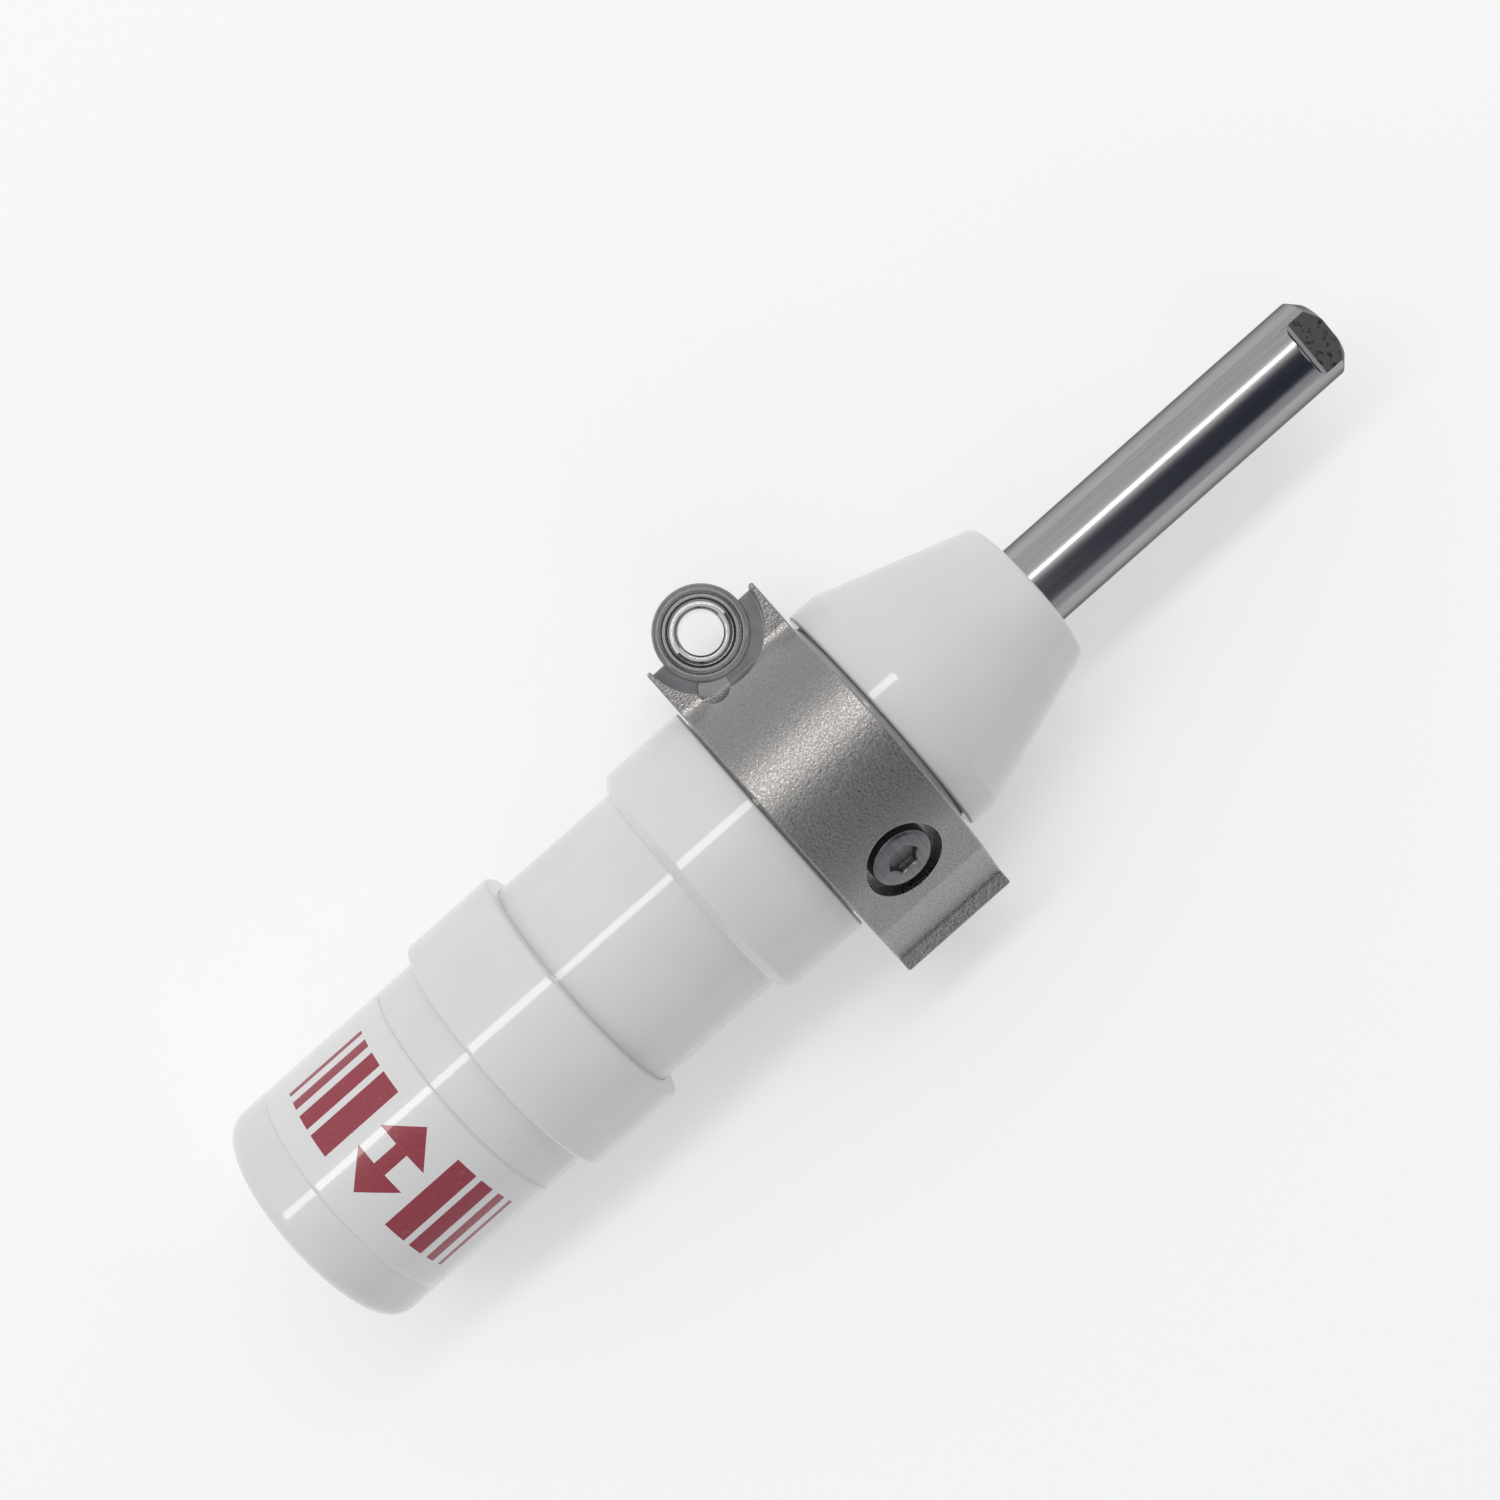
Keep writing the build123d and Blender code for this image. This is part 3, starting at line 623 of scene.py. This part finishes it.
rodSizes = {"radius": 7.9375, "tipChamfer": 1.7, "flatLength": 6.6, "flatRound": 1.8,
            "threadMajor": 3.93, "threadMinor": 3.455, "pitch": 1.0583, "threadDepth": 17.2,
            "rowsPerTurn": 8, "drillDepth": 18.0, "mouthChamfer": 0.5, "seatRadius": 6.35,
            "tailRadius": 5.55, "tailChamfer": 0.8, "edge": 0.18, "tailEdge": 0.2, "tipStep": 0.16,
            "leadIn": 0.05, "lip": 0.1, "behindFlat": 0.6, "endRows": 26, "firstLean": 0.04,
            "roundColumns": 40, "flatColumns": 24}


def fillIn(line, step):
    # The same line with points added, so that none of its runs is longer than the step.
    runs = np.hypot(*np.diff(line, axis=0).T)
    along = np.concatenate([[0], np.cumsum(runs)])
    extra = [np.linspace(start, end, int((end - start) / step) + 2)[:-1]
             for start, end in zip(along[:-1], along[1:])]
    there = np.append(np.concatenate(extra), along[-1])
    return np.stack([np.interp(there, along, line[:, 0]), np.interp(there, along, line[:, 1])], axis=-1)


def rodPiece():
    # One closed surface of revolution from the bottom of the drilled hole, out along its thread, over
    # the tip and back to the tail. The thread's radius is a triangle wave of x / pitch + angle / turn.
    # On the two flats the radius is their height / |sin angle|, and that height rises along a quarter
    # circle at their inner end. The flat and the round part each keep a fixed number of columns, so
    # the line between them, where sin angle = height / radius, is always an edge of the grid.
    size, flatHalf = rodSizes, rodFlats["half"]
    tailX, tipX = ends("rod")
    pistonX, nutX = ends("piston")[1], ends("piston_nut")[0]
    flatX, quarter, tiny = tipX - size["flatLength"], math.pi / 2, 1e-6
    threadX = np.arange(tipX - size["threadDepth"], tipX - size["mouthChamfer"],
                        size["pitch"] / size["rowsPerTurn"])
    thread = np.stack([threadX, 0 * threadX + size["threadMajor"]], axis=-1)
    start = np.array([(tipX - size["drillDepth"], 0), (tipX - size["drillDepth"], size["threadMajor"]),
                      (threadX[0] - size["leadIn"], size["threadMajor"])])
    mouth = np.array([(tipX - size["mouthChamfer"], size["threadMajor"]),
                      (tipX, size["threadMajor"] + size["mouthChamfer"])])
    tip = fillIn(roundedOutline([
        (tipX, size["threadMajor"] + size["mouthChamfer"] + size["lip"]),
        (tipX, size["radius"] - size["tipChamfer"], size["edge"]),
        (tipX - size["tipChamfer"], size["radius"], size["edge"]),
        (flatX + size["flatRound"], size["radius"])], steps=4, closed=False), size["tipStep"])
    lean = np.linspace(size["firstLean"], quarter, size["endRows"])
    rise = flatX + size["flatRound"] * (1 - np.sin(lean))
    body = np.stack([rise, 0 * rise + size["radius"]], axis=-1)
    back = roundedOutline([
        (flatX - size["behindFlat"], size["radius"]), (pistonX, size["radius"]),
        (pistonX, size["seatRadius"]),
        (nutX, size["seatRadius"]), (nutX, size["tailRadius"]),
        (tailX + size["tailChamfer"], size["tailRadius"], size["tailEdge"]),
        (tailX, size["tailRadius"] - size["tailChamfer"], size["tailEdge"]), (tailX, 0)],
        steps=4, closed=False)
    line = np.vstack([start, thread, mouth, tip, body, back])
    x, radius = line[:, :1], line[:, 1:]

    # The flats' height at each row, and the angle at which they meet the round part.
    intoEnd = np.clip(flatX + size["flatRound"] - x, 0, size["flatRound"])
    height = flatHalf + size["flatRound"] - np.sqrt(size["flatRound"] ** 2 - intoEnd ** 2)
    first, last = len(start), len(start) + len(thread)
    flatRows = (np.arange(len(line))[:, None] >= last) & (x >= flatX - tiny)
    steepest = 0.985  # the sine where the border stands on rows that have no flat
    border = np.arcsin(np.where(flatRows, np.clip(height / np.maximum(radius, 1), 0, steepest), steepest))
    rounds = np.linspace(-1, 1, 2 * size["roundColumns"], endpoint=False)
    flats = np.linspace(-1, 1, size["flatColumns"], endpoint=False)
    angle = np.hstack([rounds * border, quarter + flats * (quarter - border),
                       math.pi + rounds * border, 3 * quarter + flats * (quarter - border)])
    radius = radius + 0 * angle
    depth = size["threadMajor"] - size["threadMinor"]
    runIn = np.clip((threadX - threadX[0]) / size["pitch"], 0, 1)
    runOut = np.clip((threadX[-1] - threadX) / size["pitch"] / 0.5, 0, 1)
    wave = saw(threadX[:, None] / size["pitch"] + angle[first:last] / fullTurn)
    radius[first:last] = size["threadMajor"] - depth * wave * (runIn * runOut)[:, None]
    cut = height / np.maximum(np.abs(np.sin(angle)), tiny)
    radius = np.where(flatRows, np.minimum(radius, cut), radius)
    return gridPiece("polishedRod", aroundBarrel(x, radius, angle + math.radians(rodFlats["turn"])),
                     sharpAngle=24)


finishPiece(rodPiece(), "ground_rod", "rod", "rod")
print("rod made")


screwMarks = {"columns": 144, "knurlWaves": 36, "pitch": 0.7}


def screwSurface(name, rows, place):
    # Rows are (height, radius, hexagon, knurl, thread), and marks left out are 0. Each row is a ring
    # round the screw's axis whose radius is that of a circle, or radius / cos(angle from the nearest
    # flat's middle) for a hexagon. A knurl takes a cosine of 36 waves off it, and a thread a triangle
    # wave of height / pitch + angle / turn. Place turns height, side and side into the frame.
    angle = np.linspace(0, fullTurn, screwMarks["columns"], endpoint=False)
    table = np.array([(*row, 0, 0, 0)[:5] for row in rows], float)
    height, radius, hexagon, knurl, thread = (column[:, None] for column in table.T)
    flats = 1 / np.cos((angle % (math.pi / 3)) - math.pi / 6)
    ring = radius * (1 - hexagon + hexagon * flats)
    ring = ring - knurl * (0.5 + 0.5 * np.cos(screwMarks["knurlWaves"] * angle))
    ring = ring - thread * saw(height / screwMarks["pitch"] + angle / fullTurn)
    points = place(height + 0 * angle, ring * np.cos(angle), ring * np.sin(angle))
    return gridPiece(name, points, sharpAngle=40)


ball = {"radius": 7.0, "bore": 3.97, "chamfer": 0.5, "land": 0.53, "edge": 0.12, "steps": 48,
        "columns": 160}


def ballPiece():
    # A surface of revolution about the bearing's axis: x = r cos a, y = r sin a, z as it is. The
    # outline is an arc of the ball between its two flat faces, and the bore with its chamfers.
    mouth = ball["bore"] + ball["chamfer"]
    face = mouth + ball["land"]
    lean = math.acos(face / ball["radius"])
    half = ball["radius"] * math.sin(lean)
    turn = np.linspace(-lean, lean, ball["steps"])[1:-1]
    arc = list(zip(ball["radius"] * np.sin(turn), ball["radius"] * np.cos(turn)))
    outline = roundedOutline([(-half, mouth, ball["edge"]), (-half, face, ball["edge"])] + arc + [
        (half, face, ball["edge"]), (half, mouth, ball["edge"]),
        (half - ball["chamfer"], ball["bore"], ball["edge"]),
        (ball["chamfer"] - half, ball["bore"], ball["edge"])])
    angle = np.linspace(0, fullTurn, ball["columns"], endpoint=False)
    height, radius = outline[:, :1], outline[:, 1:2]
    points = np.stack([radius * np.cos(angle), radius * np.sin(angle), height + 0 * angle], axis=-1)
    return gridPiece("lappedBall", points, closeRows=True)


finishPiece(ballPiece(), "bearing_steel", "ball", "bearing_ball", material=materials["lapped_steel"])
print("ball made")


clampScrew = {"spread": 12.0, "y": -59.6, "headTop": -11.0, "headHeight": 4.0, "headRadius": 3.5,
              "socket": 1.5, "socketDepth": 2.4, "drillPoint": 0.6, "mouth": 0.3, "mouthDepth": 0.35,
              "fillet": 0.15, "knurl": 0.16, "shank": 2.0, "end": 5.2, "thread": 0.28, "threadFrom": 1.5,
              "threadStep": 0.0875}


def clampScrewRows():
    # Heights run up from the head's face, which looks down.
    size = clampScrew
    low, under, end = size["headTop"], size["headTop"] + size["headHeight"], size["end"]
    floor, head, shank = low + size["socketDepth"], size["headRadius"], size["shank"]
    socket, mouth = size["socket"], size["mouth"]
    rows = [(floor + size["drillPoint"], 0), (floor, socket, 1), (low + size["mouthDepth"], socket, 1),
            (low, socket + mouth, 0.5), (low, head - 0.45), (low + 0.12, head - 0.16),
            (low + 0.45, head, 0, 0.02), (low + 0.6, head, 0, size["knurl"]),
            (under - 0.5, head, 0, size["knurl"]), (under - 0.25, head), (under, head - size["fillet"]),
            (under, shank + size["fillet"]), (under + size["fillet"], shank)]
    threaded = np.arange(under + size["threadFrom"], end - 0.4, size["threadStep"])
    rows += [(height, shank, 0, 0, size["thread"]) for height in threaded]
    return rows + [(end - 0.35, shank - 0.1), (end, shank - 0.45), (end, 0)]


for side, end in ((-1, "Rear"), (1, "Front")):
    def stand(height, across, over, middle=side * clampScrew["spread"] / 2):
        return np.stack([middle + across, clampScrew["y"] + over, height], axis=-1)
    finishPiece(screwSurface("clampScrew" + end, clampScrewRows(), stand), "zinc_steel", "barrel",
                "clamp_screws")

lockScrew = {"floor": 24.35, "headHeight": 2.6, "headRadius": 5.6, "socket": 2.5, "socketDepth": 1.56,
             "drillPoint": 0.5, "mouth": 0.3, "shank": 3.0, "shoulder": 21.65, "point": 2.2,
             "pointEnd": 19.4, "pointChamfer": 0.3, "turn": 45}


def lockScrewRows():
    size = lockScrew
    low, top = size["floor"], size["floor"] + size["headHeight"]
    floor, head, shank = top - size["socketDepth"], size["headRadius"], size["shank"]
    socket, mouth, chamfer = size["socket"], size["mouth"], size["pointChamfer"]
    return [(floor - size["drillPoint"], 0), (floor, socket, 1), (top - mouth, socket, 1),
            (top, socket + mouth, 0.6), (top, head - 0.7), (top - 0.12, head - 0.3), (top - 0.42, head),
            (low + 0.2, head), (low, head - 0.2), (low, shank), (size["shoulder"], shank),
            (size["shoulder"], size["point"]), (size["pointEnd"] + chamfer, size["point"]),
            (size["pointEnd"], size["point"] - chamfer), (size["pointEnd"], 0)]


def lean(height, across, over):
    # The lock screw's axis leans from straight up towards -Y by its turn.
    turn = math.radians(lockScrew["turn"])
    return np.stack([across, axisY - height * math.sin(turn) + over * math.cos(turn),
                     height * math.cos(turn) + over * math.sin(turn)], axis=-1)


finishPiece(screwSurface("lockScrew", lockScrewRows(), lean), "zinc_steel", "barrel", "lock_screw")
print("screws made")


ground = {"size": 4000, "below": 0.05, "colour": (0.74, 0.74, 0.74), "lift": 0.36}


def layFloor():
    # A pale matt sheet. A faint glow, seen by the camera and in reflections only, lifts it.
    across = np.linspace(-ground["size"] / 2, ground["size"] / 2, 3)
    low = cadBox[0][2] / millimetre - ground["below"]
    points = np.stack(np.meshgrid(across, across, [low], indexing="ij"), axis=-1)[:, :, 0]
    floor = gridPiece("studioFloor", points, closeColumns=False)
    finish = Finish(newMaterial("paleFloor"))
    rays = [finish.node("ShaderNodeLightPath", {}, {}, "Is " + kind + " Ray")
            for kind in ("Camera", "Glossy", "Transmission")]
    seen = finish.maths("MAXIMUM", finish.maths("MAXIMUM", rays[0], rays[1]), rays[2])
    cloth = finish.node("ShaderNodeBsdfDiffuse", {}, {"Color": ground["colour"]})
    lift = finish.node("ShaderNodeEmission", {}, {"Strength": seen * ground["lift"]})
    finish.feed(finish.exit, finish.node("ShaderNodeAddShader", {}, {0: cloth, 1: lift}))
    floor.data.materials.append(finish.owner)


sky = {"jawSide": (0.535, 0.54, 0.555), "lugSide": (0.745, 0.75, 0.757), "jawY": -0.55, "lugY": 0.65,
       "dark": (0.030, 0.034, 0.060), "darkFrom": (-0.30, 0.12), "darkTo": (0.80, 0.95), "darkX": 0.34,
       "darkHalf": (0.18, 0.32)}


def lightWorld():
    # The sky by direction: paler towards the lug than towards the jaw, with a dark blue patch beyond
    # the rod, from just short of overhead to well over towards the jaw, and white where the camera
    # looks straight at it. Over is the sine of the angle from overhead round the barrel's axis, and
    # the patch is where over has risen past its start, not yet past its end, and x is near its middle.
    world = bpy.data.worlds.new("studioSky")
    scene.world = world
    finish = Finish(world)
    x, y, z = finish.split(finish.node("ShaderNodeTexCoord", {}, {}, "Generated"))
    over = 0 - y / (y * y + z * z + 0.0001) ** 0.5
    patch = over.rise(*sky["darkFrom"]) * (1 - over.rise(*sky["darkTo"]))
    patch = patch * (1 - abs(x - sky["darkX"]).rise(*sky["darkHalf"]))
    clear = finish.mix(y.rise(sky["jawY"], sky["lugY"]), sky["jawSide"], sky["lugSide"])
    seen = finish.node("ShaderNodeLightPath", {}, {}, "Is Camera Ray")
    colour = finish.mix(seen, finish.mix(patch, clear, sky["dark"]), (1, 1, 1))
    finish.feed(finish.exit, finish.node("ShaderNodeBackground", {}, {"Color": colour, "Strength": 1.0}))


strip = {"size": (1.9, 0.15), "reach": 1.3, "tilt": 21.2, "aim": (0, -0.03, 0), "radiance": 4.5,
         "colour": (1.0, 0.955, 0.905)}  # metres and degrees


def hangStrip():
    # A long lamp over the barrel, tilted towards the lug. An area lamp's radiance is its energy
    # divided by four times its area.
    wide, deep = strip["size"]
    lamp = bpy.data.lights.new("stripLamp", "AREA")
    lamp.shape, lamp.size, lamp.size_y = "RECTANGLE", wide, deep
    lamp.energy, lamp.color = strip["radiance"] * 4 * wide * deep, strip["colour"]
    holder = bpy.data.objects.new("stripLamp", lamp)
    scene.collection.objects.link(holder)
    tilt, aim = math.radians(strip["tilt"]), Vector(strip["aim"])
    holder.location = aim + Vector((0, math.sin(tilt), math.cos(tilt))) * strip["reach"]
    holder.rotation_euler = (aim - holder.location).to_track_quat("-Z", "Y").to_euler()


view = {"place": (-0.0070, -0.02062, 0.380), "turn": -41.5, "lens": 52.8, "sensor": 36}  # metres


def setCamera():
    # Straight above the part and looking down, turned so that the barrel runs from corner to corner.
    camera = bpy.data.objects.new("studioCamera", bpy.data.cameras.new("studioCamera"))
    scene.collection.objects.link(camera)
    camera.location = view["place"]
    camera.rotation_euler = Euler((0, 0, math.radians(view["turn"])))
    camera.data.lens, camera.data.sensor_width = view["lens"], view["sensor"]
    camera.data.clip_start, camera.data.clip_end = 0.01, 20
    scene.camera = camera


layFloor()
lightWorld()
hangStrip()
setCamera()
scene.view_settings.view_transform = "Standard"
print("studio set")
